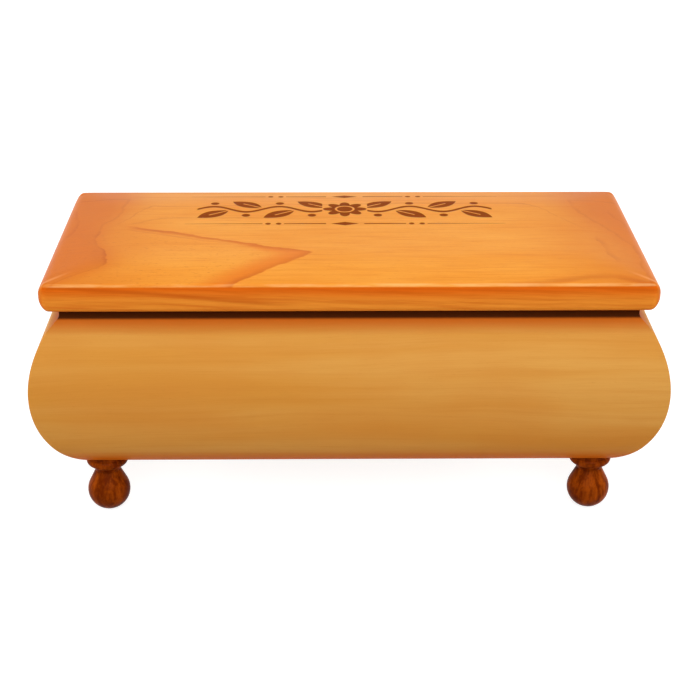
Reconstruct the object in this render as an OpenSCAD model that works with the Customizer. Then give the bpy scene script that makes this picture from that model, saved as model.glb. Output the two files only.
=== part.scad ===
// Keepsake box: swelling mitred sides, an overhanging crowned lid on two stop hinges, and four ball feet.
// Millimetres. X runs along the box, the front faces -Y, and Z is up from the floor under the box's centre.

/* [Body] */
// Length over the widest line of the two ends
body_l = 305; // [260:1:360]
// Depth over the widest line of the front and the back
body_d = 152.5; // [130:0.5:200]
// Height of the walls, from their lower edge to the rim
body_h = 83.6; // [81.5:0.1:90]
// Greatest thickness of a wall, from its widest line to its flat inner face
wall_t = 25; // [23.5:0.5:30]

/* [Wall profile] */
// Height of the widest line above the wall's lower edge, as a share of the wall's height
belly_share = 0.5275; // [0.5:0.0025:0.55]
// Angle that the upper face turns through
upper_a = 32; // [28:0.5:34]
// Radius of the shoulder between the upper face and the flare
shoulder_r = 3; // [1:0.5:5]
// Angle of the flare under the neck, from the vertical
flare_a = 45; // [40:1:50]
// Height of the neck and its hollow above the flare
neck_h = 4.5; // [4.5:0.1:6]
// Radius of the hollow between the flare and the neck
cove_r = 3; // [1.5:0.5:4]
// Distance of the neck behind the widest line
neck_in = 15; // [14:0.5:16]
// Radius of the face below the widest line
lower_r = 59.5; // [55:0.5:64]
// Angle that the lower face turns through
lower_a = 31.5; // [28:0.5:34]
// Radius of the last turn, which the flat lower edge cuts off
turn_r = 40; // [37:0.5:46]

/* [Bottom] */
// Thickness of the bottom panel
panel_t = 5; // [3:0.5:6]
// Height of the panel's underside above the walls' lower edge
panel_up = 5; // [4:0.5:8]
// Depth of the groove that holds the panel
groove_d = 4; // [2:0.5:5]
// Side of a corner block under the panel
block_w = 32; // [28:1:45]
// Length cut off the free corner of a block
block_chamfer = 14; // [6:1:18]

/* [Feet] */
// Height of a foot
foot_h = 31; // [29:0.5:36]
// Distance of a foot's axis behind the widest lines
foot_in = 31; // [30.5:0.5:40]
// Radius of the ball
ball_r = 10.6; // [9:0.1:11.5]
// Radius of the flat that the ball stands on
ball_flat_r = 2.5; // [1.5:0.5:4]
// Radius of the ball where the neck's cone leaves it
ball_cone_r = 9.4; // [8:0.1:9.7]
// Radius of the foot's narrow neck
foot_neck_r = 6.2; // [5:0.1:6.8]
// Height of the foot's neck above the floor
foot_neck_z = 21.6; // [20:0.1:23]
// Outer radius of the bead under the box
bead_r = 10.4; // [9:0.1:12]
// Radius of the bead's rounding
bead_round = 2.4; // [1.5:0.1:3]
// Depth of the bead's widest line below the box
bead_drop = 3.8; // [3.2:0.1:5]
// Radius of the pad between the bead and the box
collar_r = 9.2; // [8:0.1:10]

/* [Lid] */
// Distance of the lid's ends behind the widest lines
lid_end_in = 6.2; // [5:0.1:8]
// Distance of the lid's front and back edges behind the widest lines
lid_side_in = 8.4; // [7.5:0.1:9]
// Thickness of the lid at its flat field
lid_t = 16.8; // [15.5:0.1:20]
// Width of the sloping margins, from the lid's edge to the flat field
margin_w = 25; // [18:1:35]
// Slope of the margins
margin_a = 5.7; // [2:0.1:8]
// Radius of the lid's corners seen from above
lid_corner_r = 5; // [2:0.1:6]
// Rounding of the upper edge at the lid's ends
end_top_r = 6; // [3:0.1:6.5]
// Rounding of the lower edge at the lid's ends
end_low_r = 6.7; // [4:0.1:7]
// Rounding of the upper edge along the lid's front and back
side_top_r = 1.6; // [1:0.1:4]
// Rounding of the lower edge along the lid's front and back
side_low_r = 3.1; // [2:0.1:3.5]
// Gap between the closed lid and the rim
lid_gap = 0.8; // [0.6:0.1:1.2]
// Angle at which the hinges stop the open lid
open_a = 100; // [94:1:104]

/* [Hinges] */
// Distance of a hinge's middle from the end of the body
hinge_end = 64.5; // [45:0.5:80]
// Length of a hinge
hinge_l = 34; // [28:1:44]
// Width of a leaf on the wood
leaf_w = 7.8; // [6:0.1:8.4]
// Thickness of a leaf
leaf_t = 1; // [0.8:0.1:1.4]
// Outer radius of a knuckle
knuckle_r = 1.9; // [1.7:0.1:2]
// Number of knuckles in a hinge
knuckles = 5; // [3:2:5]
// Radius of the hinge pin
pin_r = 0.9; // [0.7:0.1:1.1]
// Thickness of the pin's domed heads
pin_head_t = 0.7; // [0.5:0.1:1]
// Reach of the stop lugs from the pin's axis
lug_reach = 3.2; // [2.8:0.1:3.2]
// Length of a hinge screw
hinge_screw_l = 8; // [6:0.5:9]
// Radius of a hinge screw's shank
hinge_screw_r = 1.1; // [0.9:0.1:1.3]
// Radius of a hinge screw's head
hinge_head_r = 2; // [1.7:0.1:2.4]

/* [Foot screws] */
// Length of a foot screw
foot_screw_l = 22; // [18:1:24]
// Radius of a foot screw's shank
foot_screw_r = 1.75; // [1.4:0.05:2]
// Radius of a foot screw's head
foot_head_r = 3.5; // [3:0.1:4]

/* [Linings] */
// Thickness of the lined boards on the walls
lining_t = 1.6; // [1:0.1:2.5]
// Distance of the linings' upper edge below the rim
lining_drop = 4; // [3.5:0.5:12]
// Thickness of the pad on the bottom
floor_pad_t = 2.6; // [1.5:0.1:4]
// Thickness of the pad under the lid
lid_pad_t = 2.4; // [1.5:0.1:3]
// Gap between the lid's pad and the linings round it
lid_pad_gap = 2.4; // [1.5:0.1:6]
// Radius of the lid pad's corners
lid_pad_corner_r = 5; // [3:0.5:10]
// Radius of a felt bumper on the rim
bumper_r = 3; // [2:0.1:4]
// Thickness of a felt bumper
bumper_t = 0.5; // [0.3:0.1:0.5]

/* [Fits] */
// Running clearance round a hinge pin
pin_play = 0.05; // [0.02:0.01:0.1]
// Gap between neighbouring knuckles
knuckle_gap = 0.3; // [0.2:0.05:0.5]
// Clearance round a knuckle in the wood
barrel_play = 0.4; // [0.3:0.05:0.5]
// Clearance left between the stop lugs of the open hinge
stop_play = 0.05; // [0.03:0.01:0.1]
// Clearance of the panel in its grooves
panel_play = 0.3; // [0.1:0.1:0.5]
// Clearance round a screw's shank and of a leaf in its recess
wood_play = 0.1; // [0.05:0.05:0.2]
// Clearance between neighbouring lining pieces
lining_play = 0.3; // [0.1:0.1:0.6]

/* [Hidden] */
$fn = 96;

// Margin by which a cutting shape passes the face that it cuts
over = 1;
// Finishes, as they show
pale_wood = [0.86, 0.60, 0.30];
lid_wood = [0.91, 0.60, 0.27];
dark_wood = [0.40, 0.18, 0.07];
panel_wood = [0.80, 0.62, 0.40];
velvet = [0.20, 0.07, 0.06];
felt = [0.12, 0.10, 0.09];
brass = [0.80, 0.62, 0.28];

// Wall profile: x is outwards from the widest line, y is up from the lower edge.
// Each face is an arc that ends where the next begins with the same slope. The upper face's radius
// follows from the heights, so that the flare ends at the neck.
belly_z = belly_share * body_h;
flare_end_y = body_h - neck_h;
upper_r = ((flare_end_y - belly_z) * tan(flare_a) - neck_in + cove_r - cove_r * cos(flare_a)
           + shoulder_r * (cos(upper_a) - cos(flare_a) - (sin(flare_a) - sin(upper_a)) * tan(flare_a)))
          / (sin(upper_a) * tan(flare_a) + cos(upper_a) - 1);
upper_c = [-upper_r, belly_z];
upper_end = upper_c + upper_r * [cos(upper_a), sin(upper_a)];
shoulder_c = upper_end - shoulder_r * [cos(upper_a), sin(upper_a)];
shoulder_end = shoulder_c + shoulder_r * [cos(flare_a), sin(flare_a)];
flare_l = (neck_in - cove_r + cove_r * cos(flare_a) + shoulder_end[0]) / sin(flare_a);
flare_end = shoulder_end + flare_l * [-sin(flare_a), cos(flare_a)];
cove_c = flare_end + cove_r * [cos(flare_a), sin(flare_a)];
lower_c = [-lower_r, belly_z];
lower_end = lower_c + lower_r * [cos(lower_a), -sin(lower_a)];
turn_c = lower_end + turn_r * [-cos(lower_a), sin(lower_a)];

// Heights above the floor
rim_z = foot_h + body_h;
lid_z = rim_z + lid_gap;
panel_z = foot_h + panel_up;
panel_top_z = panel_z + panel_t;

// Half sizes of the space inside the walls
inner_x = body_l / 2 - wall_t;
inner_y = body_d / 2 - wall_t;

// Lid size
lid_l = body_l - 2 * lid_end_in;
lid_d = body_d - 2 * lid_side_in;

// Hinge axis, behind the back wall's neck and level with the middle of the gap under the lid
hinge_x = body_l / 2 - hinge_end;
neck_y = body_d / 2 - neck_in;
pin_y = neck_y + knuckle_r + barrel_play;
pin_z = rim_z + lid_gap / 2;
pin_hole_r = pin_r + pin_play;
knuckle_pitch = hinge_l / knuckles;
hinge_screw_x = hinge_l * 0.3;
hinge_screw_y = neck_y - leaf_w / 2;
lug_t = leaf_t;
// The lid's lug lies level behind the pin, and its tip meets the body's lug when the lid is open
lug_drop = lug_t - lid_gap / 2;
stop_y = lug_reach * cos(open_a) - lug_drop * sin(open_a) - stop_play;

// Foot places
foot_x = body_l / 2 - foot_in;
foot_y = body_d / 2 - foot_in;
ball_z = sqrt(ball_r * ball_r - ball_flat_r * ball_flat_r);
bead_z = foot_h - bead_drop;

// Part of the wall's profile between two heights, with an arc about c as its outer face
module arc_slice(low, high, c, r) {
    if (c[0] > -wall_t)
        translate([-wall_t, low]) square([wall_t + c[0], high - low]);
    intersection() {
        translate(c) circle(r, $fn = 192);
        translate([max(c[0], -wall_t), low]) square([wall_t + over, high - low]);
    }
}

// Cross-section of a wall, with the groove for the bottom panel
module wall_profile() {
    difference() {
        union() {
            arc_slice(0, lower_end[1], turn_c, turn_r);
            arc_slice(lower_end[1], belly_z, lower_c, lower_r);
            arc_slice(belly_z, upper_end[1], upper_c, upper_r);
            arc_slice(upper_end[1], shoulder_end[1], shoulder_c, shoulder_r);
            polygon([[-wall_t, shoulder_end[1]], shoulder_end, flare_end, [-wall_t, flare_end[1]]]);
            difference() {
                translate([-wall_t, flare_end[1]])
                    square([wall_t + flare_end[0], cove_c[1] - flare_end[1]]);
                translate(cove_c) circle(cove_r);
            }
            translate([-wall_t, cove_c[1]]) square([wall_t - neck_in, body_h - cove_c[1]]);
        }
        translate([-wall_t - over, panel_up]) square([groove_d + over, panel_t + wood_play]);
    }
}

// Wall along X, mitred at both ends, with its widest line at the given distance behind the centre
module wall_run(run_l, reach) {
    half = run_l / 2 + over;
    inside = wall_t + 2 * over;
    translate([0, 0, foot_h]) intersection() {
        translate([-half, 0, 0]) rotate([90, 0, 90])
            linear_extrude(2 * half) translate([reach, 0]) wall_profile();
        translate([0, 0, -over]) linear_extrude(body_h + 2 * over)
            polygon([[-half, reach + over], [half, reach + over],
                     [half - inside, reach + over - inside], [-half + inside, reach + over - inside]]);
    }
}

module front_wall() {
    color(pale_wood) rotate(180) wall_run(body_l, body_d / 2);
}

module back_wall() {
    color(pale_wood) difference() {
        wall_run(body_l, body_d / 2);
        for (s = [-1, 1]) translate([s * hinge_x, 0, 0]) {
            leaf_recess(rim_z - leaf_t, leaf_t + over);
            screw_places() translate([0, 0, rim_z]) rotate([180, 0, 0])
                cylinder(h = hinge_screw_l + wood_play, r = hinge_screw_r + wood_play);
        }
    }
}

module left_wall() {
    color(pale_wood) rotate(90) wall_run(body_d, body_l / 2);
}

module right_wall() {
    color(pale_wood) rotate(-90) wall_run(body_d, body_l / 2);
}

// Repeats a piece at the four feet, turned by mirroring so that -X, -Y is outwards
module at_feet() {
    for (sx = [-1, 1], sy = [-1, 1])
        translate([sx * foot_x, sy * foot_y, 0]) scale_sign(-sx, -sy) children();
}

module scale_sign(sx, sy) {
    mirror([sx < 0 ? 1 : 0, 0, 0]) mirror([0, sy < 0 ? 1 : 0, 0]) children();
}

// Hole for a foot screw, from the panel's upper face down
module foot_screw_hole() {
    translate([0, 0, panel_top_z]) rotate([180, 0, 0]) {
        cylinder(h = foot_screw_l + over, r = foot_screw_r + wood_play);
        translate([0, 0, -over]) cylinder(h = over + 2 * wood_play, r = foot_head_r + wood_play);
        translate([0, 0, 2 * wood_play])
            cylinder(h = foot_head_r - foot_screw_r, r1 = foot_head_r + wood_play, r2 = foot_screw_r + wood_play);
    }
}

module bottom_panel() {
    reach = groove_d - panel_play;
    color(panel_wood) difference() {
        translate([-inner_x - reach, -inner_y - reach, panel_z])
            cube([2 * (inner_x + reach), 2 * (inner_y + reach), panel_t]);
        at_feet() foot_screw_hole();
    }
}

module corner_blocks() {
    // From the inner corner of the walls to the foot's axis
    to_axis = foot_in - wall_t;
    color(panel_wood) at_feet() difference() {
        translate([0, 0, foot_h]) linear_extrude(panel_up)
            polygon([[-to_axis, -to_axis], [block_w - to_axis, -to_axis],
                     [block_w - to_axis, block_w - block_chamfer - to_axis],
                     [block_w - block_chamfer - to_axis, block_w - to_axis], [-to_axis, block_w - to_axis]]);
        foot_screw_hole();
    }
}

// Turned foot: a ball with a flat to stand on, a coned neck, a bead and a collar
module foot() {
    ball_cone_z = ball_z + sqrt(ball_r * ball_r - ball_cone_r * ball_cone_r);
    color(dark_wood) difference() {
        rotate_extrude() {
            intersection() {
                translate([0, ball_z]) circle(ball_r);
                square([ball_r + over, ball_cone_z]);
            }
            polygon([[0, ball_cone_z], [ball_cone_r, ball_cone_z], [foot_neck_r, foot_neck_z],
                     [bead_r - bead_round, bead_z - bead_round], [bead_r - bead_round, bead_z], [0, bead_z]]);
            translate([bead_r - bead_round, bead_z]) intersection() {
                circle(bead_round);
                translate([0, -bead_round]) square([bead_round, 2 * bead_round]);
            }
            translate([0, bead_z - bead_round]) square([bead_r - bead_round, 2 * bead_round]);
            translate([0, bead_z]) square([collar_r, foot_h - bead_z]);
        }
        foot_screw_hole();
    }
}

module foot_front_left() { translate([-foot_x, -foot_y, 0]) foot(); }
module foot_front_right() { translate([foot_x, -foot_y, 0]) foot(); }
module foot_back_left() { translate([-foot_x, foot_y, 0]) foot(); }
module foot_back_right() { translate([foot_x, foot_y, 0]) foot(); }

// Countersunk screw with its head's face at z = 0 and its point downwards
module screw(length, shank_r, head_r) {
    head_h = head_r - shank_r;
    slot_w = head_r * 0.28;
    difference() {
        rotate_extrude($fn = 48)
            polygon([[0, 0], [head_r, 0], [shank_r, -head_h], [shank_r, -length + 2 * shank_r],
                     [shank_r * 0.15, -length], [0, -length]]);
        for (turn = [0, 90]) rotate(turn)
            translate([-head_r * 0.6, -slot_w / 2, -head_h * 0.6])
                cube([head_r * 1.2, slot_w, head_h + over]);
    }
}

module foot_screws() {
    color(brass) at_feet() translate([0, 0, panel_top_z - 2 * wood_play])
        screw(foot_screw_l - 2 * wood_play, foot_screw_r, foot_head_r);
}

// Rounded rectangle about the origin, made of rectangles and quarter discs
module rounded_plan(length, depth, r) {
    square([length - 2 * r, depth], center = true);
    for (s = [-1, 1]) {
        translate([s * (length / 2 - r / 2), 0]) square([r, depth - 2 * r], center = true);
        for (t = [-1, 1]) translate([s * (length / 2 - r), t * (depth / 2 - r)]) intersection() {
            circle(r);
            translate([s * r / 2, t * r / 2]) square(r, center = true);
        }
    }
}

module floor_pad() {
    color(velvet) translate([0, 0, panel_top_z]) linear_extrude(floor_pad_t)
        square([2 * (inner_x - lining_t - lining_play), 2 * (inner_y - lining_t - lining_play)],
               center = true);
}

// Lined board along X against the wall behind the centre
module lining_run(length, reach) {
    color(velvet) translate([-length / 2, reach - lining_t, panel_top_z])
        cube([length, lining_t, rim_z - lining_drop - panel_top_z]);
}

module front_lining() { rotate(180) lining_run(2 * inner_x, inner_y); }
module back_lining() { lining_run(2 * inner_x, inner_y); }
module left_lining() { rotate(90) lining_run(2 * (inner_y - lining_t - lining_play), inner_x); }
module right_lining() { rotate(-90) lining_run(2 * (inner_y - lining_t - lining_play), inner_x); }

// Felt dots on the front corners of the rim
module rim_bumpers() {
    across = (neck_in + wall_t) / 2;
    color(felt) for (s = [-1, 1])
        translate([s * (inner_x - bumper_r), across - body_d / 2, rim_z])
            cylinder(h = bumper_t, r = bumper_r);
}

// Cross-section of the lid over the given width, with its underside at y = 0
module lid_profile(width, top_r, low_r) {
    half = width / 2;
    edge_z = lid_t - margin_w * tan(margin_a);
    // Centre of the upper rounding, which touches the sloping margin and the upright edge
    c = [half - top_r, lid_t - (margin_w - top_r) * tan(margin_a) - top_r / cos(margin_a)];
    clear = c + (top_r + over) * [sin(margin_a), cos(margin_a)];
    difference() {
        polygon([[-half, 0], [half, 0], [half, edge_z], [half - margin_w, lid_t],
                 [-half + margin_w, lid_t], [-half, edge_z]]);
        for (s = [0, 1]) mirror([s, 0]) {
            difference() {
                polygon([c, clear, [half + over, clear[1]], [half + over, c[1]]]);
                translate(c) circle(top_r);
            }
            difference() {
                translate([half - low_r, -over]) square(low_r + over);
                translate([half - low_r, low_r]) circle(low_r);
            }
        }
    }
}

// Lid without its cuts: the common part of a crosswise and a lengthwise run, so that the margins meet
// in mitres, with its corners rounded
module lid_blank() {
    intersection() {
        translate([0, lid_d / 2 + over, 0]) rotate([90, 0, 0])
            linear_extrude(lid_d + 2 * over) lid_profile(lid_l, end_top_r, end_low_r);
        translate([-lid_l / 2 - over, 0, 0]) rotate([90, 0, 90])
            linear_extrude(lid_l + 2 * over) lid_profile(lid_d, side_top_r, side_low_r);
        translate([0, 0, -over]) linear_extrude(lid_t + 2 * over) rounded_plan(lid_l, lid_d, lid_corner_r);
    }
}

module lid_board() {
    color(lid_wood) difference() {
        translate([0, 0, lid_z]) lid_blank();
        for (s = [-1, 1]) translate([s * hinge_x, 0, 0]) {
            leaf_recess(lid_z - over, leaf_t + over);
            translate([-hinge_l / 2 - pin_head_t - barrel_play, pin_y, pin_z]) rotate([0, 90, 0])
                cylinder(h = hinge_l + 2 * (pin_head_t + barrel_play), r = knuckle_r + barrel_play);
            screw_places() translate([0, 0, lid_z])
                cylinder(h = hinge_screw_l + wood_play, r = hinge_screw_r + wood_play);
        }
    }
}

module lid_pad() {
    margin = lining_t + lid_pad_gap;
    color(velvet) translate([0, 0, lid_z - lid_pad_t]) linear_extrude(lid_pad_t)
        rounded_plan(2 * (inner_x - margin), 2 * (inner_y - margin), lid_pad_corner_r);
}

// Recess for a leaf, about a hinge's middle
module leaf_recess(z, depth) {
    translate([-hinge_l / 2 - wood_play, neck_y - leaf_w - wood_play, z])
        cube([hinge_l + 2 * wood_play, leaf_w + wood_play + over + knuckle_r, depth]);
}

// Repeats a piece at a leaf's two screws, about a hinge's middle
module screw_places() {
    for (s = [-1, 1]) translate([s * hinge_screw_x, hinge_screw_y, 0]) children();
}

// Countersunk hole in a leaf whose free face is at z = 0 and whose wood is below
module leaf_screw_hole() {
    head_h = hinge_head_r - hinge_screw_r;
    translate([0, 0, -head_h]) cylinder(h = head_h, r1 = hinge_screw_r + wood_play, r2 = hinge_head_r + wood_play);
    translate([0, 0, -over - leaf_t]) cylinder(h = 2 * over + leaf_t, r = hinge_screw_r + wood_play);
}

// Leaf below the hinge axis, about the hinge's middle, with every second knuckle from the given one
module leaf(first) {
    free_z = pin_z - lid_gap / 2;
    edge_y = pin_y - knuckle_r - knuckle_gap;
    back_y = neck_y - leaf_w;
    difference() {
        union() {
            translate([-hinge_l / 2, back_y, free_z - leaf_t]) cube([hinge_l, edge_y - back_y, leaf_t]);
            for (k = [first : 2 : knuckles - 1]) knuckle_place(k) {
                translate([0, edge_y - over, free_z - leaf_t])
                    cube([knuckle_length(k), pin_y - edge_y + over, leaf_t]);
                translate([0, pin_y, pin_z]) rotate([0, 90, 0]) cylinder(h = knuckle_length(k), r = knuckle_r);
            }
        }
        translate([-hinge_l / 2 - over, pin_y, pin_z]) rotate([0, 90, 0])
            cylinder(h = hinge_l + 2 * over, r = pin_hole_r);
        screw_places() translate([0, 0, free_z]) leaf_screw_hole();
    }
}

// Knuckles share the hinge's length, with a gap between neighbours and none at the two ends
function knuckle_start(k) = -hinge_l / 2 + k * knuckle_pitch + (k > 0 ? knuckle_gap / 2 : 0);
function knuckle_length(k) =
    knuckle_pitch - (k > 0 ? knuckle_gap / 2 : 0) - (k < knuckles - 1 ? knuckle_gap / 2 : 0);

module knuckle_place(k) {
    translate([knuckle_start(k), 0, 0]) children();
}

// Leaf on the rim, with a lug hanging behind the neck below the lid's knuckles
module body_leaf() {
    lug_top = pin_z - knuckle_r - knuckle_gap;
    lug_low = pin_z - lug_reach - stop_play;
    color(brass) {
        leaf(0);
        translate([-hinge_l / 2, neck_y, lug_low])
            cube([hinge_l, pin_y + stop_y - neck_y, lug_top - lug_low]);
        for (k = [0 : 2 : knuckles - 1]) knuckle_place(k)
            translate([0, neck_y, lug_low])
                cube([knuckle_length(k), pin_y + stop_y - neck_y, pin_z - lid_gap - lug_low]);
    }
}

// Leaf under the lid, the body's leaf turned over, with level lugs behind the barrel
module lid_leaf() {
    color(brass) {
        translate([0, 0, 2 * pin_z]) mirror([0, 0, 1]) leaf(1);
        for (k = [1 : 2 : knuckles - 1]) knuckle_place(k) difference() {
            translate([0, pin_y, pin_z + lid_gap / 2 - lug_t])
                cube([knuckle_length(k), lug_reach, lug_t]);
            translate([-over, pin_y, pin_z]) rotate([0, 90, 0])
                cylinder(h = knuckle_pitch + 2 * over, r = (pin_hole_r + knuckle_r) / 2);
        }
    }
}

// Pin with a domed head at each end
module hinge_pin() {
    color(brass) translate([0, pin_y, pin_z]) rotate([0, 90, 0]) {
        cylinder(h = hinge_l + 2 * pin_head_t, r = pin_r, center = true);
        for (s = [-1, 1]) translate([0, 0, s * hinge_l / 2]) rotate([s < 0 ? 180 : 0, 0, 0])
            cylinder(h = pin_head_t, r1 = knuckle_r * 0.8, r2 = knuckle_r * 0.5);
    }
}

module left_hinge_body_leaf() { translate([-hinge_x, 0, 0]) body_leaf(); }
module left_hinge_lid_leaf() { translate([-hinge_x, 0, 0]) lid_leaf(); }
module left_hinge_pin() { translate([-hinge_x, 0, 0]) hinge_pin(); }
module right_hinge_body_leaf() { translate([hinge_x, 0, 0]) body_leaf(); }
module right_hinge_lid_leaf() { translate([hinge_x, 0, 0]) lid_leaf(); }
module right_hinge_pin() { translate([hinge_x, 0, 0]) hinge_pin(); }

module hinge_body_screws() {
    color(brass) for (s = [-1, 1]) translate([s * hinge_x, 0, rim_z])
        screw_places() screw(hinge_screw_l, hinge_screw_r, hinge_head_r);
}

module hinge_lid_screws() {
    color(brass) for (s = [-1, 1]) translate([s * hinge_x, 0, lid_z])
        screw_places() rotate([180, 0, 0]) screw(hinge_screw_l, hinge_screw_r, hinge_head_r);
}

front_wall();
back_wall();
left_wall();
right_wall();
bottom_panel();
corner_blocks();
foot_front_left();
foot_front_right();
foot_back_left();
foot_back_right();
foot_screws();
floor_pad();
front_lining();
back_lining();
left_lining();
right_lining();
rim_bumpers();
lid_board();
lid_pad();
left_hinge_body_leaf();
left_hinge_lid_leaf();
left_hinge_pin();
right_hinge_body_leaf();
right_hinge_lid_leaf();
right_hinge_pin();
hinge_body_screws();
hinge_lid_screws();
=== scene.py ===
"""Looks of the keepsake box: lacquered wood, turned feet, brass hinges and a velvet lining.

Lengths in this script are millimetres until they go into a mesh, which is in metres.
"""

import math

import bpy
import numpy as np
from mathutils import Matrix, Vector


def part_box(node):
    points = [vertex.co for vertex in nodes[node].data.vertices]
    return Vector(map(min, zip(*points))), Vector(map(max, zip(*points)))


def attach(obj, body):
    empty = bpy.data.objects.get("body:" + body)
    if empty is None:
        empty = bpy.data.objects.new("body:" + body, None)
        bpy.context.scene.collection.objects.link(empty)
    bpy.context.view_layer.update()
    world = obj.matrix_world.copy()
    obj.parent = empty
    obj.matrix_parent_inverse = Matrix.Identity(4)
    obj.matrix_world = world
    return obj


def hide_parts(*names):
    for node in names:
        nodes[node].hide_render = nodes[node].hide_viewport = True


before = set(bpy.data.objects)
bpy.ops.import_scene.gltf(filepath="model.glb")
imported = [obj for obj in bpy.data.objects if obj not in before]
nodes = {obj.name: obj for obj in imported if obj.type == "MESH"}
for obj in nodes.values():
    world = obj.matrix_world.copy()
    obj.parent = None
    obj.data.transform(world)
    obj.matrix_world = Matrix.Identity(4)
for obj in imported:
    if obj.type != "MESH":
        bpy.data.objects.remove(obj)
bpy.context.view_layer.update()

MM = 0.001


# Sizes of the box, in millimetres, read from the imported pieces

def span(node):
    """Lowest and highest corner of a CAD node in millimetres."""
    low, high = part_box(node)
    return np.array(low) / MM, np.array(high) / MM


lid_low, lid_high = span("lid_board")
lid_half = (lid_high - lid_low)[:2] / 2
lid_base = lid_low[2]
lid_t = lid_high[2] - lid_low[2]
hinge_low, hinge_high = span("right_hinge_lid_leaf")
pin_low, pin_high = span("right_hinge_pin")
pin_y = (pin_low[1] + pin_high[1]) / 2
pin_z = (pin_low[2] + pin_high[2]) / 2

wall_low, wall_high = span("front_wall")
wall_base = wall_low[2]
wall_top = wall_high[2]

# The lid's form, as the part's source has it
margin_w = 25.0
margin_slope = math.tan(math.radians(5.7))
lid_corner_r = 5.0
end_top_r = 6.0
end_low_r = 6.7
side_top_r = 1.6
side_low_r = 3.1
leaf_w = 7.8
leaf_t = 1.0
barrel_r = 2.3

# How far round a hinge's leaf and its barrel the lid is cut out
leaf_gap = 0.1
barrel_gap = 0.4


# Meshes

def piece(name, points, faces, finish, body, smooth_below=40.0):
    """Object from points in millimetres and a list of faces, each a list of point numbers, riding
    on a body.

    Edges sharper than smooth_below degrees stay sharp."""
    mesh = bpy.data.meshes.new(name)
    mesh.from_pydata((np.asarray(points) * MM).tolist(), [], faces)
    mesh.polygons.foreach_set("use_smooth", np.ones(len(mesh.polygons), bool))
    mesh.set_sharp_from_angle(angle=math.radians(smooth_below))
    mesh.update()
    made = bpy.data.objects.new(name, mesh)
    bpy.context.scene.collection.objects.link(made)
    made.data.materials.append(finish)
    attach(made, body)
    return made


def grid_faces(rows, columns, first=0, turned=False):
    """Four-cornered faces of a grid of points numbered row by row from first."""
    r, c = np.meshgrid(np.arange(rows - 1), np.arange(columns - 1), indexing="ij")
    a = (first + r * columns + c).ravel()
    quad = np.stack([a, a + columns, a + columns + 1, a + 1], axis=-1)
    return quad[:, ::-1] if turned else quad


def border(rows, columns):
    """Point numbers round the edge of a grid, once round."""
    number = np.arange(rows * columns).reshape(rows, columns)
    return np.concatenate([number[:-1, 0], number[-1, :-1], number[:0:-1, -1], number[0, :0:-1]])


def closed_by_border(top, low, rows, columns):
    """Closed surface from an upper and a lower grid of points over the same plan.

    A strip joins the two grids' borders. Returns points, and faces that point outwards."""
    count = rows * columns
    upper = border(rows, columns)
    lower = upper + count
    strip = np.stack([upper, lower, np.roll(lower, -1), np.roll(upper, -1)], axis=-1)
    faces = [grid_faces(rows, columns), grid_faces(rows, columns, count, True), strip]
    return np.concatenate([top, low]), np.concatenate(faces)


def rounded_corner(x, y, half, radius):
    """Draws the corners of a rectangle in to a radius: square rings become arcs.

    In each corner square of side radius, with a and b the shares of the way to its two edges, both
    are multiplied by max(a, b) / sqrt(a^2 + b^2)."""
    a = np.clip((np.abs(x) - (half[0] - radius)) / radius, 0, 1)
    b = np.clip((np.abs(y) - (half[1] - radius)) / radius, 0, 1)
    both = (a > 0) & (b > 0)
    shrink = np.where(both, np.maximum(a, b) / np.maximum(np.hypot(a, b), 1e-9), 1)
    new_x = np.where(both, np.sign(x) * (half[0] - radius + radius * a * shrink), x)
    new_y = np.where(both, np.sign(y) * (half[1] - radius + radius * b * shrink), y)
    return new_x, new_y


def edge_distance(x, y, half, radius):
    """Distance inwards from a rectangle's rounded outline, and the share of the way round each corner.

    The share is 0 at the front and back and 1 at the ends."""
    a = np.maximum(np.abs(x) - (half[0] - radius), 0)
    b = np.maximum(np.abs(y) - (half[1] - radius), 0)
    to_end = half[0] - np.abs(x)
    to_side = half[1] - np.abs(y)
    in_corner = (a > 0) & (b > 0)
    distance = np.where(in_corner, radius - np.hypot(a, b), np.minimum(to_end, to_side))
    turn = np.where(in_corner, np.arctan2(a, b) / (math.pi / 2), (to_end < to_side) * 1.0)
    return np.maximum(distance, 0), turn


def drop(distance, radius):
    """Drop of a quarter round at a distance in from the edge: r - sqrt(r^2 - (r - d)^2)."""
    inside = np.clip(radius - distance, 0, radius)
    return radius - np.sqrt(np.maximum(radius ** 2 - inside ** 2, 0))


def soft_min(a, b, reach):
    """Smaller of two, with the crease between them rounded where they differ by less than a reach.

    The smaller less reach / 4 times the square of (reach - difference) / reach."""
    blend = np.clip(reach - np.abs(a - b), 0, None) / reach
    return np.minimum(a, b) - blend ** 2 * reach / 4


def lines_over(half, fine, step, extra=()):
    """Grid lines from -half to half: close together at the ends as fine gives, step apart between,
    and the extra ones. A line that comes too close behind another is left out."""
    closest = 0.015
    inner = half - fine[-1]
    middle = np.linspace(-inner, inner, int(round(2 * inner / step)) + 1)
    lines = np.concatenate([-half + fine[:-1], middle, half - fine[:-1], extra])
    lines = np.unique(np.round(lines, 3))
    keep = np.concatenate([[True], np.diff(lines) > closest])
    return lines[keep]


# Lid

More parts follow.
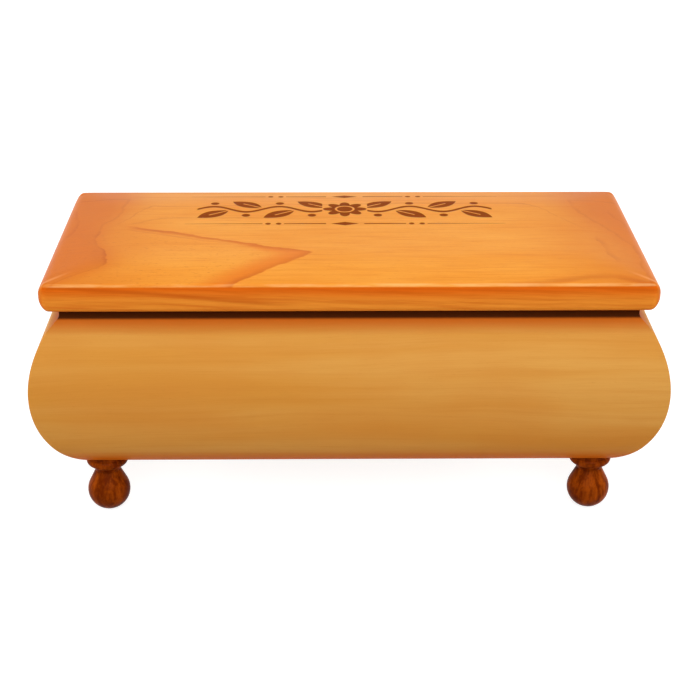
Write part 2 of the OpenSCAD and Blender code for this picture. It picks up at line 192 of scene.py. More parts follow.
def lid_lines():
    """Grid lines of the lid along X and Y, with a pair of lines at each edge of a hinge's recesses."""
    step = 1.25
    pair = 0.02
    turn = np.linspace(0, math.pi / 2, 9)
    fine_x = end_low_r * (1 - np.cos(turn))
    fine_y = np.concatenate([side_top_r * (1 - np.cos(turn)), [2.2, 2.7, side_low_r, 4.0]])
    ends = []
    for side in (-1, 1):
        for edge in (hinge_low[0] - leaf_gap, hinge_high[0] + leaf_gap,
                     pin_low[0] - barrel_gap, pin_high[0] + barrel_gap):
            ends += [side * edge, side * edge + pair]
    leaf_front = hinge_low[1] - leaf_gap
    back = [leaf_front, leaf_front + pair, hinge_low[1] + leaf_w]
    back += [pin_y - barrel_r, pin_y - barrel_r + pair]
    back += list(pin_y + barrel_r * np.sin(np.linspace(-1.4, 1.4, 9)))
    back += [pin_y + barrel_r - pair, pin_y + barrel_r]
    return lines_over(lid_half[0], fine_x, step, ends), lines_over(lid_half[1], fine_y, step, back)


def lid_edge(x, y, side_r, end_r):
    """Drop of the lid's rounded edge: a quarter round with one radius along the front and back and
    another at the ends.

    Round a corner the radius passes from one to the other by the smooth step 3 t^2 - 2 t^3."""
    distance, turn = edge_distance(x, y, lid_half, lid_corner_r)
    turn = turn * turn * (3 - 2 * turn)
    return drop(distance, side_r + (end_r - side_r) * turn)


def lid_top(x, y):
    """Height of the lid's upper face: a flat field, margins that fall to the edges, and a quarter round.

    A margin rises by its slope times the distance in from the nearest edge, with soft mitres and a
    soft crease where it meets the field."""
    mitre = 9.0
    crease = 12.0
    to_end = np.minimum(lid_half[0] - np.abs(x), margin_w + crease)
    to_side = np.minimum(lid_half[1] - np.abs(y), margin_w + crease)
    inset = soft_min(to_end, to_side, mitre)
    rise = soft_min(inset, margin_w + 0 * inset, crease)
    height = lid_t - (margin_w - rise) * margin_slope
    return height - lid_edge(x, y, side_top_r, end_top_r)


def lid_under(x, y):
    """Height of the lid's underside: flat, rounded at the edges, with the hinges' recesses.

    A leaf's recess is flat. A barrel's groove is the circle z + sqrt(r^2 - (y - pin)^2) about its pin."""
    hair = 0.01
    height = lid_edge(x, y, side_low_r, end_low_r)
    along = np.abs(x)
    leaf = (along > hinge_low[0] - leaf_gap - hair) & (along < hinge_high[0] + leaf_gap + hair)
    leaf = leaf & (y > hinge_low[1] - leaf_gap + hair) & (y < pin_y + 0.5)
    height = np.where(leaf, leaf_t, height)
    barrel = (along > pin_low[0] - barrel_gap - hair) & (along < pin_high[0] + barrel_gap + hair)
    barrel = barrel & (np.abs(y - pin_y) < barrel_r)
    groove = pin_z - lid_base + np.sqrt(np.maximum(barrel_r ** 2 - (y - pin_y) ** 2, 0))
    return np.where(barrel, np.maximum(height, groove), height)


def make_lid(finish):
    """Lid as two height fields over one plan with rounded corners, joined by an upright edge."""
    xs, ys = lid_lines()
    x, y = np.meshgrid(xs, ys, indexing="ij")
    x, y = rounded_corner(x, y, lid_half, lid_corner_r)
    x, y = x.ravel(), y.ravel()
    top = np.stack([x, y, lid_base + lid_top(x, y)], axis=-1)
    low = np.stack([x, y, lid_base + lid_under(x, y)], axis=-1)
    points, faces = closed_by_border(top, low, len(xs), len(ys))
    made = piece("lid_board_shaped", points, faces.tolist(), finish, "lid")
    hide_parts("lid_board")
    return made


# Materials

class Value:
    """A socket of a material, on which sums can be written."""

    def __init__(self, finish, socket):
        self.finish = finish
        self.socket = socket

    def maths(self, operation, *others):
        """Math node with this value first and the others behind it."""
        values = dict(enumerate((self,) + others))
        return self.finish.node("ShaderNodeMath", {"operation": operation}, values)

    def __add__(self, other):
        return self.maths("ADD", other)

    def __radd__(self, other):
        return self.maths("ADD", other)

    def __sub__(self, other):
        return self.maths("SUBTRACT", other)

    def __rsub__(self, other):
        return (self * -1.0) + other

    def __mul__(self, other):
        return self.maths("MULTIPLY", other)

    def __rmul__(self, other):
        return self.maths("MULTIPLY", other)

    def __truediv__(self, other):
        return self.maths("DIVIDE", other)

    def __pow__(self, other):
        return self.maths("POWER", other)

    def __abs__(self):
        return self.maths("ABSOLUTE")

    def least(self, other):
        """The smaller of this value and another."""
        return self.maths("MINIMUM", other)

    def most(self, other):
        """The larger of this value and another."""
        return self.maths("MAXIMUM", other)

    def within(self, low, high):
        """0 below low, 1 above high, and a smooth step between."""
        sockets = {"Value": self, "From Min": low, "From Max": high}
        return self.finish.node("ShaderNodeMapRange", {"interpolation_type": "SMOOTHSTEP"}, sockets)


def stroke(distance, width, soft=0.5):
    """1 within half a width of a line and 0 beyond it, from the distance to the line.

    The passage from 1 to 0 is soft wide."""
    return 1.0 - abs(distance).within((width - soft) / 2, (width + soft) / 2)


def ring(distance, fade):
    """Late wood of a growth ring: starts where the distance is 0 and fades on its far side."""
    return distance.within(-0.6, 0.5) * (1.0 - distance.within(0.0, fade))


class Finish:
    """A material, or a world's light, under construction."""

    def __init__(self, name, tree=None):
        if tree is None:
            self.material = bpy.data.materials.new(name)
            self.material.use_nodes = True
            tree = self.material.node_tree
        self.tree = tree
        self.tree.nodes.clear()

    def node(self, kind, settings=None, sockets=None, out=0):
        """Adds a node: its settings, then the values or links of its sockets. Returns one output."""
        added = self.tree.nodes.new(kind)
        for key, setting in (settings or {}).items():
            setattr(added, key, setting)
        for key, value in (sockets or {}).items():
            if isinstance(value, Value):
                self.tree.links.new(value.socket, added.inputs[key])
            else:
                added.inputs[key].default_value = value
        return Value(self, added.outputs[out]) if added.outputs else None

    def millimetres(self):
        """The place on the piece as three values in millimetres."""
        place = self.node("ShaderNodeTexCoord", out="Object")
        split = self.node("ShaderNodeSeparateXYZ", None, {0: place})
        axes = [Value(self, split.socket.node.outputs[axis]) for axis in range(3)]
        return [axis * (1 / MM) for axis in axes]

    def seen(self):
        """1 for the rays that show the background: from the camera, in gloss and through glass."""
        path = self.node("ShaderNodeLightPath", out="Is Camera Ray")
        rays = path.socket.node.outputs
        gloss = Value(self, rays["Is Glossy Ray"])
        glass = Value(self, rays["Is Transmission Ray"])
        return path.most(gloss).most(glass)

    def point(self, x, y, z):
        """Place that a texture is read at."""
        return self.node("ShaderNodeCombineXYZ", None, {0: x, 1: y, 2: z})

    def noise(self, point, scale=1.0, detail=2.0, roughness=0.5):
        """Noise from 0 to 1, whose swells are about 1 apart at scale 1."""
        sockets = {"Vector": point, "Scale": scale, "Detail": detail, "Roughness": roughness}
        return self.node("ShaderNodeTexNoise", {"noise_dimensions": "3D"}, sockets)

    def blend(self, share, a, b):
        """Colour between a and b by a share from 0 to 1."""
        a = a if isinstance(a, Value) else (*a, 1.0)
        b = b if isinstance(b, Value) else (*b, 1.0)
        settings = {"data_type": "RGBA", "clamp_factor": True}
        return self.node("ShaderNodeMix", settings, {0: share, 6: a, 7: b}, out=2)

    def bump(self, height, distance):
        """Normal from a height, where a height of 1 is distance metres."""
        sockets = {"Height": height, "Distance": distance, "Strength": 1.0}
        return self.node("ShaderNodeBump", None, sockets)

    def surface(self, **sockets):
        """Principled surface; names are the shader's own with _ for a space."""
        values = {key.replace("_", " "): value for key, value in sockets.items()}
        shader = self.node("ShaderNodeBsdfPrincipled", None, values)
        self.node("ShaderNodeOutputMaterial", None, {"Surface": shader})
        return self.material


def linear(red, green, blue):
    """Colour from the 0 to 255 values of a screen, as the linear light that a shader takes."""
    share = np.array([red, green, blue]) / 255
    return tuple(np.where(share <= 0.04045, share / 12.92, ((share + 0.055) / 1.055) ** 2.4).tolist())


def wall_finish(name, along_x, neck_shade_strength):
    """Pale satin wood with straight grain along the wall, with painted shade under the lid and at the foot.

    Long soft bands, fine fibre lines and short pores all run along the wall. The painted shade of the
    neck covers the wood under it by the share that the last argument gives."""
    f = Finish(name)
    x, y, z = f.millimetres()
    along, across = (x, y) if along_x else (y, x)
    drift = f.noise(f.point(along * 0.006, z * 0.02, across * 0.02), 1.0, 2.0)
    height = z + (drift - 0.5) * 14.0
    bands = f.noise(f.point(along * 0.004, height * 0.06, across * 0.04), 1.0, 2.0, 0.5)
    fine = f.noise(f.point(along * 0.008, height * 0.4, across * 0.4), 1.0, 4.0, 0.6)
    fibre = f.noise(f.point(along * 0.05, height * 2.4, across * 2.4), 1.0, 3.0, 0.6)
    pores = f.noise(f.point(along * 0.3, z * 2.5, across * 2.5), 1.0, 1.0)
    patches = f.noise(f.point(along * 0.016, z * 0.03, across * 0.03), 1.0, 2.0)
    colour = f.blend(bands.within(0.32, 0.68), linear(217, 159, 79), linear(210, 144, 60))
    colour = f.blend(patches.within(0.35, 0.7) * 0.35, colour, linear(208, 136, 58))
    colour = f.blend(fine.within(0.45, 0.75) * 0.28, colour, linear(200, 128, 50))
    colour = f.blend(fibre.within(0.4, 0.7) * 0.12, colour, linear(190, 114, 38))
    colour = f.blend(pores.within(0.68, 0.78) * 0.14, colour, linear(174, 94, 26))
    under_rim = 1.0 - z.within(wall_top - 0.5, wall_top - 0.2)
    # Painted shade: a darker, redder band on the flare just below the neck, where the lid's overhang shades
    # it
    under_lid_shade = z.within(wall_top - 11.0, wall_top - 4.6) * under_rim
    colour = f.blend(under_lid_shade * 0.85, colour, linear(190, 88, 8))
    # Painted shade: the neck under the lid's overhang is coloured nearly black, as the lid's shadow
    painted_neck_shade = z.within(wall_top - 5.0, wall_top - 3.8) * under_rim
    colour = f.blend(painted_neck_shade * neck_shade_strength, colour, linear(34, 7, 1))
    # Painted shade: darker and redder towards the bottom of the wall, where it turns under
    foot = 1.0 - z.within(wall_base + 1.0, wall_base + 13.0)
    colour = f.blend(foot * 0.9, colour, linear(210, 100, 0))
    normal = f.bump(fine * 0.4 + fibre * 0.3, 0.00006)
    return f.surface(Base_Color=colour, Roughness=0.42 + (fine - 0.5) * 0.1, Normal=normal,
                     Specular_IOR_Level=0.015)


def lid_figure(f, x, y):
    """Figure of the flat-sawn lid, from millimetres right of the box's left end and behind its front.

    The growth rings are lines that the distances below are measured from. Each is straight or runs
    level and then rises or falls with a smooth step. A cathedral points to the right at the front, two
    rings run over it and close down towards the right end, and loops cross both ends. Returns how
    much late wood there is, how much redder wood inside the cathedral's edge and at the two ends, and
    how far inside the cathedral a place is."""
    x = x + (f.noise(f.point(x * 0.03, y * 0.05, 0.0), 1.0, 4.0, 0.65) - 0.5) * 9.0
    y = y + (f.noise(f.point(x * 0.03, y * 0.05, 7.0), 1.0, 4.0, 0.65) - 0.5) * 8.0
    fade = f.noise(f.point(x * 0.035, y * 0.06, 3.0), 1.0, 2.0).within(0.25, 0.7)
    upper = (100.0 - x * 0.41 - y) * 0.925
    lower = (y - x * 0.95 + 84.0) * 0.725
    cathedral = upper.maths("SMOOTH_MIN", lower, 5.0)
    start = x.within(36.0, 50.0)
    late = ring(cathedral, 5.0) * 0.8 + ring(upper - 4.5, 2.5) * lower.within(20.0, 45.0) * 0.5
    late = late * start
    over = y - 84.0 - x.within(38.0, 60.0) * 10.0
    late = late + ring(over, 2.5) * x.within(38.0, 46.0) * (1.0 - x.within(110.0, 190.0)) * 0.5
    outer = y - 84.0 - x.within(33.0, 52.0) * 29.0 - x.within(60.0, 220.0) * 4.0
    outer = outer + x.within(243.0, 276.0) * 40.0
    late = late + ring(outer, 2.5) * x.within(33.0, 40.0) * (1.0 - x.within(262.0, 276.0)) * 0.55
    left_line = 35.0 + y.within(76.0, 108.0) * 10.0 - y.within(44.0, 62.0) * 8.0
    left = left_line - 22.0 + y.within(6.0, 32.0) * 22.0 - x
    swell = y.within(14.0, 34.0) * (1.0 - y.within(60.0, 84.0))
    line = ring(left, 2.5) * 0.5 + ring(left, 10.0) * swell * 0.45
    late = late + line * (1.0 - y.within(124.0, 128.0))
    late = late + ring(y - 126.0, 2.5) * x.within(8.0, 14.0) * (1.0 - x.within(34.0, 38.0)) * 0.6
    far_left = 10.0 + y.within(60.0, 85.0) * 5.0 - y.within(92.0, 112.0) * 4.0 - x
    late = late + ring(far_left, 3.0) * (1.0 - y.within(108.0, 116.0)) * 0.5
    right = x - 293.0 + y.within(50.0, 118.0) * 24.0
    late = late + ring(right, 3.0) * (1.0 - y.within(121.0, 127.0)) * 0.5
    late = late + ring(y - 122.0, 3.0) * x.within(268.0, 274.0) * 0.4
    far_right = x - 296.0 + y.within(74.0, 106.0) * 8.0
    late = late + ring(far_right, 3.0) * y.within(66.0, 76.0) * (1.0 - y.within(102.0, 112.0)) * 0.5
    blot = x - 277.0 - (1.0 - y.within(34.0, 50.0)) * 4.0
    late = late + ring(blot, 5.0) * y.within(30.0, 40.0) * (1.0 - y.within(60.0, 70.0)) * 0.5
    near = y - 8.0 - x.within(230.0, 272.0) * 8.0 + x.within(275.0, 295.0) * 9.0
    late = late + stroke(near, 5.0, 4.0) * x.within(212.0, 245.0) * 0.6
    width = 3.0 + x.within(90.0, 126.0) * 6.0
    share = (lower / 12.0).least(upper / width)
    band = cathedral.within(-0.8, 0.8) * (1.0 - share.within(0.3, 1.4)) * start
    ends = left.within(-12.0, 10.0) * 0.75
    ends = ends.most(right.within(-16.0, 12.0) * 0.65)
    return late.least(1.0) * (0.4 + fade * 0.7), band, ends, cathedral.within(4.0, 16.0)


def vine(u, v):
    """Burnt ornament between two rules, from millimetres along and across about its middle.

    A stem waves as a cosine over cells of one leaf each, on alternate sides. A leaf is where
    |q| / width + (p / length)^2 is under 1, p and q being turned coordinates, less its vein; a berry
    faces it. In the middle is a rosette whose radius follows the cosine of four times the angle."""
    step = 17.0
    swing = 4.2
    leaf_out = 7.6
    leaf_wide = 4.6
    leaf_long = 9.6
    berry_out = 9.6
    along = abs(u)
    cell = (along / step + 0.5).maths("FLOOR")
    side = cell.maths("PINGPONG", 1.0) * 2.0 - 1.0
    s = along - cell * step
    v_side = v * side
    stem = stroke(v_side + (s * (math.pi / step)).maths("COSINE") * swing, 2.5)
    tilt = math.radians(36)
    p = s * math.cos(tilt) + (v_side - leaf_out) * math.sin(tilt)
    q = (v_side - leaf_out) * math.cos(tilt) - s * math.sin(tilt)
    leaf = 1.0 - (abs(q) / leaf_wide + (p / leaf_long) * (p / leaf_long)).within(0.94, 1.06)
    vein = stroke(q, 0.9) * (1.0 - (p + 1.0).within(3.0, 4.0))
    from_berry = v_side + berry_out
    berry = 1.0 - ((s * s + from_berry * from_berry) ** 0.5).within(1.9, 2.4)
    growth = stem.most(leaf * (1.0 - vein)).most(berry)
    growth = growth * along.within(11.5, 12.0) * (1.0 - along.within(76.0, 77.0))
    radius = (u * u + v * v) ** 0.5
    angle = v.maths("ARCTAN2", u)
    petals = 7.0 + abs((angle * 4.0).maths("COSINE")) * 4.4 - radius
    rosette = petals.within(-0.2, 0.3) * (1.0 - stroke(radius - 4.6, 1.1))
    rules = rule(u, v - 23.5).most(rule(u, v + 22.5))
    return growth.most(rosette).most(rules)


def rule(u, v):
    """Thin rule that tapers to both ends, parted by a lozenge in its middle and two pairs of dots."""
    dots_at = 36.5
    along = abs(u)
    taper = 1.5 - along * 0.013
    line = (taper - abs(v) * 2.0).within(-0.1, 0.5)
    breaks = stroke(along - dots_at, 11.0).most(1.0 - along.within(9.5, 10.0)).most(along.within(81.0, 82.0))
    lozenge = 1.0 - (along / 7.0 + abs(v) / 2.6).within(0.92, 1.08)
    spot = abs(along - dots_at) - 2.7
    dots = 1.0 - ((spot * spot + v * v) ** 0.5).within(1.1, 1.6)
    return (line * (1.0 - breaks)).most(lozenge).most(dots)


def lid_finish():
    """Satin flat-sawn wood: its figure, fine pores, streaks along the front, painted highlights on the top
    edges of the front and back and on the front mitres, and the burnt ornament on top."""
    f = Finish("lid_wood")
    x, y, z = f.millimetres()
    from_left = x + lid_half[0]
    height = z - lid_base
    edge_h = lid_t - margin_w * margin_slope
    late, band, ends, inner = lid_figure(f, x - float(wall_low[0]), y - float(wall_low[1]))
    above = height.within(edge_h - 5.0, edge_h - 1.5)
    late = late * (0.4 + above * 0.6)
    band = band * above
    clouds = f.noise(f.point(x * 0.012, y * 0.035, z * 0.03), 1.0, 2.0)
    grain = f.noise(f.point(x * 0.02, y * 0.35, z * 0.5), 1.0, 4.0, 0.6)
    fibre = f.noise(f.point(x * 0.09, y * 2.6, z * 3.2), 1.0, 3.0, 0.6)
    pores = f.noise(f.point(x * 0.35, y * 2.0, z * 2.4), 1.0, 1.0)
    colour = f.blend(clouds.within(0.3, 0.7), linear(240, 160, 60), linear(234, 147, 44))
    # Darker and redder towards both ends: partly the wood's own tone, partly painted shade of the sloping
    # end margins
    colour = f.blend(abs(x).within(75.0, 140.0) * 0.7, colour, linear(212, 118, 32))
    colour = f.blend(ends * 0.75, colour, linear(204, 94, 10))
    colour = f.blend(band * 0.75, colour, linear(224, 114, 22))
    colour = f.blend(late * 0.7, colour, linear(186, 80, 12))
    colour = f.blend(grain.within(0.45, 0.75) * 0.45, colour, linear(218, 118, 28))
    colour = f.blend(fibre.within(0.4, 0.7) * 0.2, colour, linear(204, 102, 22))
    ticks = pores.within(0.64, 0.74) * (0.2 + inner * 0.4)
    colour = f.blend(ticks, colour, linear(190, 90, 18))
    # Along the upright front and back the rings run out in long shallow streaks
    to_end = lid_half[0] - abs(x)
    to_side = lid_half[1] - abs(y)
    upright = (1.0 - to_side.within(0.3, 1.3)) * (1.0 - height.within(edge_h - 1.9, edge_h - 0.7))
    depth = edge_h - height + (clouds - 0.5) * 5.0
    level = depth - from_left * 0.035
    streaks = f.noise(f.point(x * 0.014, level * 0.4, 5.0), 1.0, 4.0, 0.6)
    plain = f.blend(depth.within(1.0, 10.0), linear(222, 98, 6), linear(228, 142, 48))
    plain = f.blend(streaks.within(0.42, 0.68) * 0.5, plain, linear(196, 82, 8))
    vein = stroke(depth - 0.5 - from_left * 0.088, 1.8, 1.7) * (1.0 - from_left.within(100.0, 130.0))
    plain = f.blend(vein * 0.55, plain, linear(184, 74, 6))
    plain = f.blend(fibre.within(0.4, 0.7) * 0.25, plain, linear(196, 88, 10))
    colour = f.blend(upright, colour, plain)
    # Painted highlight: a pale line along the top edges of the front and back, patchy along its length
    highlight_patchiness = f.noise(f.point(x * 0.04, y * 0.5, 0.0), 1.0, 3.0, 0.6)
    arris_highlight = (1.0 - to_side.within(0.7, 1.6)) * height.within(edge_h - 1.5, edge_h - 0.8)
    colour = f.blend(arris_highlight * (0.05 + highlight_patchiness.within(0.35, 0.65) * 0.35), colour, linear(252, 200, 136))
    # Painted highlight: a pale line along each front mitre, where the margins meet
    mitre = stroke(to_end - to_side, 2.4, 2.2) * (1.0 - (y + lid_half[1]).within(6.0, 16.0))
    mitre = mitre * height.within(edge_h - 2.5, edge_h - 1.0)
    colour = f.blend(mitre * 0.35, colour, linear(250, 182, 112))
    burnt = vine(x + 1.5, y - 32.0) * height.within(lid_t - 3.2, lid_t - 2.6)
    scorch = f.blend(fibre.within(0.3, 0.7), linear(112, 40, 0), linear(146, 64, 8))
    colour = f.blend(burnt * 0.95, colour, scorch)
    relief = fibre * 0.25 + grain * 0.15 - burnt * 3.0
    return f.surface(Base_Color=colour, Roughness=0.33 + burnt * 0.3 + (grain - 0.5) * 0.08,
                     Specular_IOR_Level=0.035, Normal=f.bump(relief, 0.0001))


def foot_finish():
    """Dark stained turned wood with grain up the foot and fine turning rings."""
    f = Finish("foot_wood")
    x, y, z = f.millimetres()
    grain = f.noise(f.point(x * 0.3, y * 0.3, z * 0.09), 1.0, 3.0, 0.6)
    fibre = f.noise(f.point(x * 1.4, y * 1.4, z * 0.25), 1.0, 2.0)
    rings = f.noise(f.point(0.0, 0.0, z * 2.2), 1.0, 2.0)
    colour = f.blend(grain.within(0.3, 0.68), linear(158, 70, 8), linear(100, 34, 0))
    colour = f.blend(fibre.within(0.45, 0.7) * 0.3, colour, linear(80, 25, 0))
    colour = f.blend(rings.within(0.5, 0.8) * 0.2, colour, linear(70, 22, 2))
    return f.surface(Base_Color=colour, Roughness=0.34, Specular_IOR_Level=0.02,
                     Normal=f.bump(rings, 0.00005))


def plain_wood_finish():
    """Bare wood of the bottom and the blocks."""
    f = Finish("inner_wood")
    x, y, z = f.millimetres()
    grain = f.noise(f.point(x * 0.03, y * 0.6, z * 1.5), 1.0, 4.0, 0.6)
    colour = f.blend(grain.within(0.3, 0.75), linear(224, 190, 140), linear(190, 146, 92))
    return f.surface(Base_Color=colour, Roughness=0.75, Normal=f.bump(grain, 0.0001))


def velvet_finish():
    """Short pile: light and dark patches where the nap lies over, a sheen, and a fine pile bump."""
    f = Finish("velvet")
    x, y, z = f.millimetres()
    nap = f.noise(f.point(x * 0.09, y * 0.09, z * 0.09), 1.0, 4.0, 0.6)
    pile = f.noise(f.point(x, y, z), 3.0, 2.0)
    colour = f.blend(nap.within(0.3, 0.7), linear(88, 28, 26), linear(72, 21, 20))
    colour = f.blend(pile.within(0.45, 0.75) * 0.35, colour, linear(116, 46, 40))
    return f.surface(Base_Color=colour, Roughness=0.9, Specular_IOR_Level=0.1, Sheen_Weight=0.25,
                     Sheen_Roughness=0.4, Sheen_Tint=(0.8, 0.35, 0.3, 1.0),
                     Normal=f.bump(pile, 0.0003))


def felt_finish():
    """Pressed felt: tangled fibres in two greys."""
    f = Finish("felt")
    x, y, z = f.millimetres()
    fibre = f.noise(f.point(x, y, z), 4.0, 3.0, 0.7)
    colour = f.blend(fibre.within(0.35, 0.7), linear(92, 84, 76), linear(58, 52, 48))
    return f.surface(Base_Color=colour, Roughness=0.95, Normal=f.bump(fibre, 0.0002))


def brass_finish():
    """Satin brass: fine brushing along the hinge and a faint tarnish in patches."""
    f = Finish("brass")
    x, y, z = f.millimetres()
    brushed = f.noise(f.point(x * 0.3, y * 12.0, z * 12.0), 1.0, 2.0)
    tarnish = f.noise(f.point(x * 0.2, y * 0.2, z * 0.2), 1.0, 3.0, 0.6)
    colour = f.blend(tarnish.within(0.45, 0.75), linear(222, 184, 108), linear(198, 154, 84))
    return f.surface(Base_Color=colour, Metallic=1.0, Roughness=0.26 + tarnish * 0.16,
                     Normal=f.bump(brushed, 0.00003))


# Velvet pieces

def rolled_edge(x, y, half, corner_r, width):
    """Quarter of a circle from 0 at a board's edge to 1 at a width in from it: sqrt(1 - (1 - d)^2)."""
    distance = edge_distance(x, y, half, corner_r)[0]
    return np.sqrt(np.clip(1 - (1 - np.clip(distance / width, 0, 1)) ** 2, 0, 1))


def make_pad(name, node, body, finish, face, crown, corner_r):
    """Padded velvet board: crowned towards face (1 up, -1 down), flat on its back, with drawn-in sides.

    Half way along, its sides lie further in by a cosine. Its face falls from the middle by the crown
    times the product of two parabolas, with slow waves of sines, and rolls over at the edge with a
    quarter of an ellipse."""
    drawn_in = 0.8
    wave_h = 0.06
    low, high = span(node)
    half = (high - low)[:2] / 2
    thick = high[2] - low[2]
    edge = np.array([0, 0.08, 0.3, 0.65, 1.1, 1.7, 2.4])
    xs = lines_over(half[0], edge, 2.5)
    ys = lines_over(half[1], edge, 2.5)
    u, v = np.meshgrid(xs, ys, indexing="ij")
    x, y = rounded_corner(u, v, half, corner_r)
    roll = rolled_edge(x, y, half, corner_r, edge[-1])
    pull_x = drawn_in * np.cos(y / half[1] * math.pi / 2) * (np.abs(x) / half[0]) ** 6
    pull_y = drawn_in * np.cos(x / half[0] * math.pi / 2) * (np.abs(y) / half[1]) ** 6
    rest = thick * 0.3
    dome = (1 - (x / half[0]) ** 2) * (1 - (y / half[1]) ** 2)
    wave = wave_h * np.sin(x / 17 + 1.3 * np.sin(y / 23)) * np.sin(y / 14 + x / 41)
    rise = rest + (thick - rest - crown) * roll + (crown * dome + wave) * roll
    rise = np.minimum(rise, thick)
    x = (x - np.sign(x) * pull_x).ravel()
    y = (y - np.sign(y) * pull_y).ravel()
    middle = (low + high) / 2
    base = low[2] if face > 0 else high[2]
    face_z = base + face * rise.ravel()
    back_z = np.full(x.shape, base)
    upper, under = (face_z, back_z) if face > 0 else (back_z, face_z)
    top = np.stack([x + middle[0], y + middle[1], upper], axis=-1)
    bottom = np.stack([x + middle[0], y + middle[1], under], axis=-1)
    points, faces = closed_by_border(top, bottom, len(xs), len(ys))
    made = piece(name, points, faces.tolist(), finish, body, 50)
    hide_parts(node)
    return made


def make_lining(name, node, finish):
    """Velvet-covered board against a wall: a slab with rolled edges and a face with slow sine waves.

    Its edge is rest times as thick as its face."""
    corner_r = 0.8
    rest = 0.35
    low, high = span(node)
    size = high - low
    thin = int(np.argmin(size[:2]))
    wide = 1 - thin
    half = np.array([size[wide], size[2]]) / 2
    edge = np.array([0, 0.06, 0.2, 0.4, 0.7, 1.0])
    us = lines_over(half[0], edge, 3.0)
    vs = lines_over(half[1], edge, 3.0)
    u, v = np.meshgrid(us, vs, indexing="ij")
    u, v = rounded_corner(u, v, half, corner_r)
    roll = rolled_edge(u, v, half, corner_r, edge[-1])
    wave = 0.05 * np.sin(u / 19 + np.sin(v / 11)) - 0.05
    depth = size[thin]
    front = (rest + (1 - rest) * roll) * depth + wave * roll
    inwards = -1 if (low + high)[thin] > 0 else 1
    wall_side = high[thin] if inwards < 0 else low[thin]
    middle = (low + high) / 2
    place = []
    for level in (front, 0 * front):
        points = np.zeros((u.size, 3))
        points[:, wide] = middle[wide] + u.ravel()
        points[:, thin] = wall_side + inwards * level.ravel()
        points[:, 2] = middle[2] + v.ravel()
        place.append(points)
    points, faces = closed_by_border(place[0], place[1], len(us), len(vs))
    # Length, height and inward side are left-handed on two of the walls, where the faces are turned
    if (inwards > 0) == (wide == 0):
        faces = faces[:, ::-1]
    made = piece(name, points, faces.tolist(), finish, "box", 50)
    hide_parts(node)
    return made


def make_dots(finish):
    """Felt dots on the rim: a profile of shares of the radius and the height, turned about each dot's
    own axis, with a faint wave of seven to the turn round the edge."""
    profile = np.array([[0.6, 0], [0.97, 0], [1, 0.35], [0.97, 0.75], [0.9, 0.95], [0.6, 1]])
    low, high = span("rim_bumpers")
    middle_y = (low + high)[1] / 2
    radius = (high - low)[1] / 2
    turn = np.linspace(0, 2 * math.pi, 37)[:-1]
    count = len(turn)
    points = []
    faces = []
    for middle_x in (low[0] + radius, high[0] - radius):
        first = sum(len(p) for p in points)
        r = profile[:, 0, None] * radius * (1 + 0.015 * np.sin(7 * turn))
        h = low[2] + profile[:, 1, None] * (high - low)[2]
        x = middle_x + r * np.cos(turn)
        y = middle_y + r * np.sin(turn)
        side = np.stack([x, y, h + 0 * x], axis=-1).reshape(-1, 3)
        ends = np.array([[middle_x, middle_y, low[2]], [middle_x, middle_y, high[2]]])
        points += [side, ends]
        number = first + np.arange(len(side)).reshape(-1, count)
        after = np.roll(number, -1, axis=1)
        quads = np.stack([number[:-1], after[:-1], after[1:], number[1:]], axis=-1).reshape(-1, 4)
        low_end = first + len(side)
        faces += quads.tolist()
        faces += [[b, a, low_end] for a, b in zip(number[0].tolist(), after[0].tolist())]
        faces += [[a, b, low_end + 1] for a, b in zip(number[-1].tolist(), after[-1].tolist())]
    made = piece("felt_dots", np.concatenate(points), faces, finish, "box", 50)
    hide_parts("rim_bumpers")
    return made


# Dressing the CAD pieces

def dress(finish, *names):
    """Gives CAD nodes their finish."""
    for name in names:
        nodes[name].data.materials.clear()
        nodes[name].data.materials.append(finish)


# The last argument is the strength of the painted shade in the neck under the lid
long_wall = wall_finish("wall_wood_long", along_x=True, neck_shade_strength=0.9)
end_wall = wall_finish("wall_wood_end", along_x=False, neck_shade_strength=0.75)
lid_wood = lid_finish()
foot_wood = foot_finish()
inner_wood = plain_wood_finish()
velvet = velvet_finish()
felt = felt_finish()
brass = brass_finish()

dress(long_wall, "front_wall", "back_wall")
dress(end_wall, "left_wall", "right_wall")
dress(inner_wood, "bottom_panel", "corner_blocks")
dress(foot_wood, "foot_front_left", "foot_front_right", "foot_back_left", "foot_back_right")
dress(brass, "foot_screws", "hinge_body_screws", "hinge_lid_screws",
      "left_hinge_body_leaf", "left_hinge_lid_leaf", "left_hinge_pin",
      "right_hinge_body_leaf", "right_hinge_lid_leaf", "right_hinge_pin")

make_lid(lid_wood)
make_pad("bottom_cushion", "floor_pad", "box", velvet, face=1, crown=0.5, corner_r=2.0)
make_pad("lid_cushion", "lid_pad", "lid", velvet, face=-1, crown=0.5, corner_r=5.0)
for wall in ("front", "back", "left", "right"):
    make_lining(wall + "_velvet", wall + "_lining", velvet)
make_dots(felt)


# Floor, light and camera

def make_floor():
    """Pale floor, white to the camera and in reflections, that keeps the box's shadow.

    To those rays it glows as well as being lit, and only the shadow falls below white."""
    half = 3.0
    mesh = bpy.data.meshes.new("floor")
    corners = [(-half, -half, 0), (half, -half, 0), (half, half, 0), (-half, half, 0)]
    mesh.from_pydata(corners, [], [(0, 1, 2, 3)])
    floor = bpy.data.objects.new("floor", mesh)
    bpy.context.scene.collection.objects.link(floor)
    f = Finish("floor_white")
    pale = f.node("ShaderNodeBsdfDiffuse", None, {"Color": (0.6, 0.54, 0.47, 1.0)})
    shown = f.node("ShaderNodeBsdfDiffuse", None, {"Color": (0.42, 0.42, 0.42, 1.0)})
    glow = f.node("ShaderNodeEmission", None, {"Color": (1, 1, 1, 1), "Strength": 0.84})
    shown = f.node("ShaderNodeAddShader", None, {0: shown, 1: glow})
    shader = f.node("ShaderNodeMixShader", None, {0: f.seen(), 1: pale, 2: shown})
    f.node("ShaderNodeOutputMaterial", None, {"Surface": shader})
    mesh.materials.append(f.material)


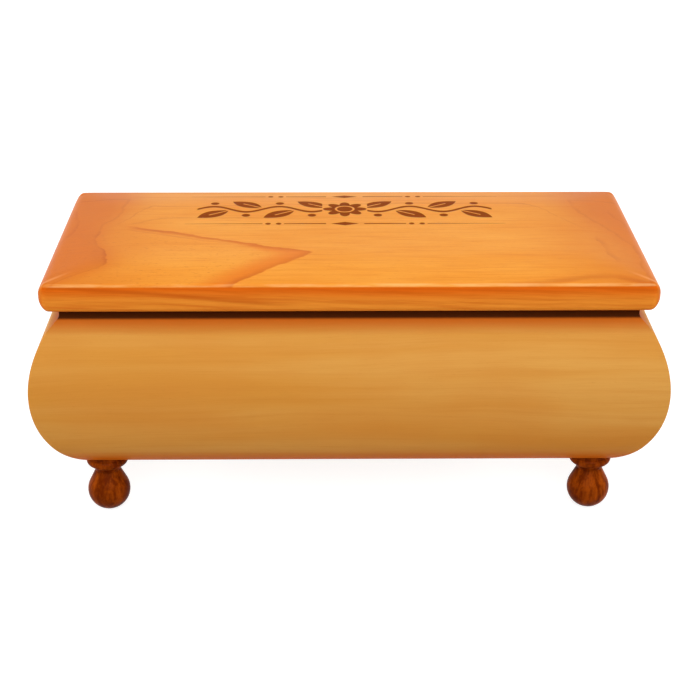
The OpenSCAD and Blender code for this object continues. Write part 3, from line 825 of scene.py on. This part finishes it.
def make_lamp(name, place, target, size, power, in_gloss=True):
    """Soft rectangular lamp aimed at a target; metres and watts."""
    lamp = bpy.data.lights.new(name, "AREA")
    lamp.shape = "RECTANGLE"
    lamp.size, lamp.size_y = size
    lamp.energy = power
    made = bpy.data.objects.new(name, lamp)
    bpy.context.scene.collection.objects.link(made)
    aim = Vector(target) - Vector(place)
    made.location = place
    made.rotation_euler = aim.to_track_quat("-Z", "Y").to_euler()
    made.visible_glossy = in_gloss


def make_world():
    """White to the camera and in reflections, and a dim even light on everything else."""
    world = bpy.data.worlds.new("studio")
    bpy.context.scene.world = world
    world.use_nodes = True
    tree = world.node_tree
    tree.nodes.clear()
    f = Finish("studio_light", tree)
    dim = 0.1
    strength = f.seen() * (1 - dim) + dim
    light = f.node("ShaderNodeBackground", None, {"Color": (1, 1, 1, 1), "Strength": strength})
    f.node("ShaderNodeOutputWorld", None, {"Surface": light})


def make_camera():
    """Camera of the photograph: place in millimetres, then its turn to the right, down and round."""
    place = Vector((-9.92, -771.8, 411.3)) * MM
    turn, down, roll = (math.radians(a) for a in (0.808, 24.1, -0.155))
    ahead = Vector((math.sin(turn) * math.cos(down), math.cos(turn) * math.cos(down), -math.sin(down)))
    right = Vector((math.cos(turn), -math.sin(turn), 0))
    below = ahead.cross(right)
    right, below = (math.cos(roll) * right + math.sin(roll) * below,
                    math.cos(roll) * below - math.sin(roll) * right)
    camera = bpy.data.cameras.new("camera")
    camera.sensor_width = 36
    camera.lens = 83.7
    camera.clip_end = 20
    made = bpy.data.objects.new("camera", camera)
    bpy.context.scene.collection.objects.link(made)
    axes = Matrix((right, -below, -ahead)).transposed()
    made.matrix_world = Matrix.Translation(place) @ axes.to_4x4()
    bpy.context.scene.camera = made


make_floor()
make_world()
make_lamp("lamp_front", (0, -0.94, 0.9), (0, 0, 0.08), (1.3, 0.65), 12.8)
make_lamp("lamp_over", (0, 0.1, 1.4), (0, 0, 0.08), (1.0, 0.6), 6.4)
for name, side in (("lamp_left", -1), ("lamp_right", 1)):
    make_lamp(name, (side * 1.2, -0.05, 0.35), (0, 0, 0.06), (0.5, 0.5), 6, in_gloss=False)
make_lamp("lamp_back", (0, 1.2, 0.25), (0, 0, 0.06), (0.9, 0.3), 6, in_gloss=False)
make_camera()

bpy.context.scene.view_settings.view_transform = "Standard"
